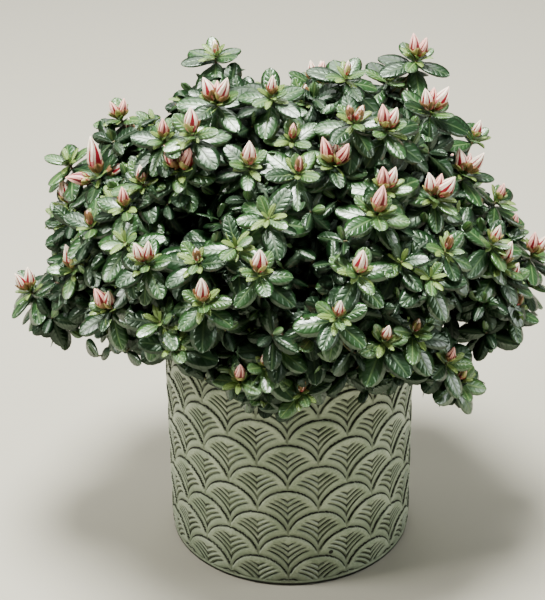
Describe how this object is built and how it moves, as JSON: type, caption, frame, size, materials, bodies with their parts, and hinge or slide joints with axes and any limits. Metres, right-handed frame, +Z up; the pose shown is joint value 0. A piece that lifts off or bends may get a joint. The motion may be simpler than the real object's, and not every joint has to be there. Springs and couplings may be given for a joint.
{
  "type": "potted azalea shrub",
  "caption": "Rounded evergreen azalea in bud, with whorled leathery leaves and striped buds, growing in a straight round glazed planter with a raised scallop pattern.",
  "frame": {"origin": "middle of the planter's flat underside, on the surface it stands on", "axes": "+Z up, +X to the right of the pictured front, -Y towards the viewer"},
  "size_m": [0.4376, 0.3569, 0.4202],
  "materials": {
    "planter_glaze": "satin",
    "potting_soil": "matte",
    "bark": "matte",
    "foliage": "satin",
    "blossom": "satin"
  },
  "bodies": {
    "root": {"planter": "planter_glaze", "soil": "potting_soil", "stem": "bark", "bough_top_left": "bark", "bough_top_right": "bark", "bough_top_back": "bark", "bough_brow": "bark", "bough_front": "bark", "bough_front_right": "bark", "bough_right_shoulder": "bark", "bough_back_right": "bark", "bough_back_left": "bark", "bough_left_shoulder": "bark", "bough_front_left": "bark", "bough_low_front": "bark", "bough_low_front_right": "bark", "bough_low_right": "bark", "bough_low_back_right": "bark", "bough_low_back": "bark", "bough_low_back_left": "bark", "bough_low_left": "bark", "bough_low_front_left": "bark", "foliage_top_left": "foliage", "foliage_top_right": "foliage", "foliage_top_back": "foliage", "foliage_brow": "foliage", "foliage_front": "foliage", "foliage_front_right": "foliage", "foliage_right_shoulder": "foliage", "foliage_back_right": "foliage", "foliage_back_left": "foliage", "foliage_left_shoulder": "foliage", "foliage_front_left": "foliage", "foliage_low_front": "foliage", "foliage_low_front_right": "foliage", "foliage_low_right": "foliage", "foliage_low_back_right": "foliage", "foliage_low_back": "foliage", "foliage_low_back_left": "foliage", "foliage_low_left": "foliage", "foliage_low_front_left": "foliage"}
  },
  "joints": []
}
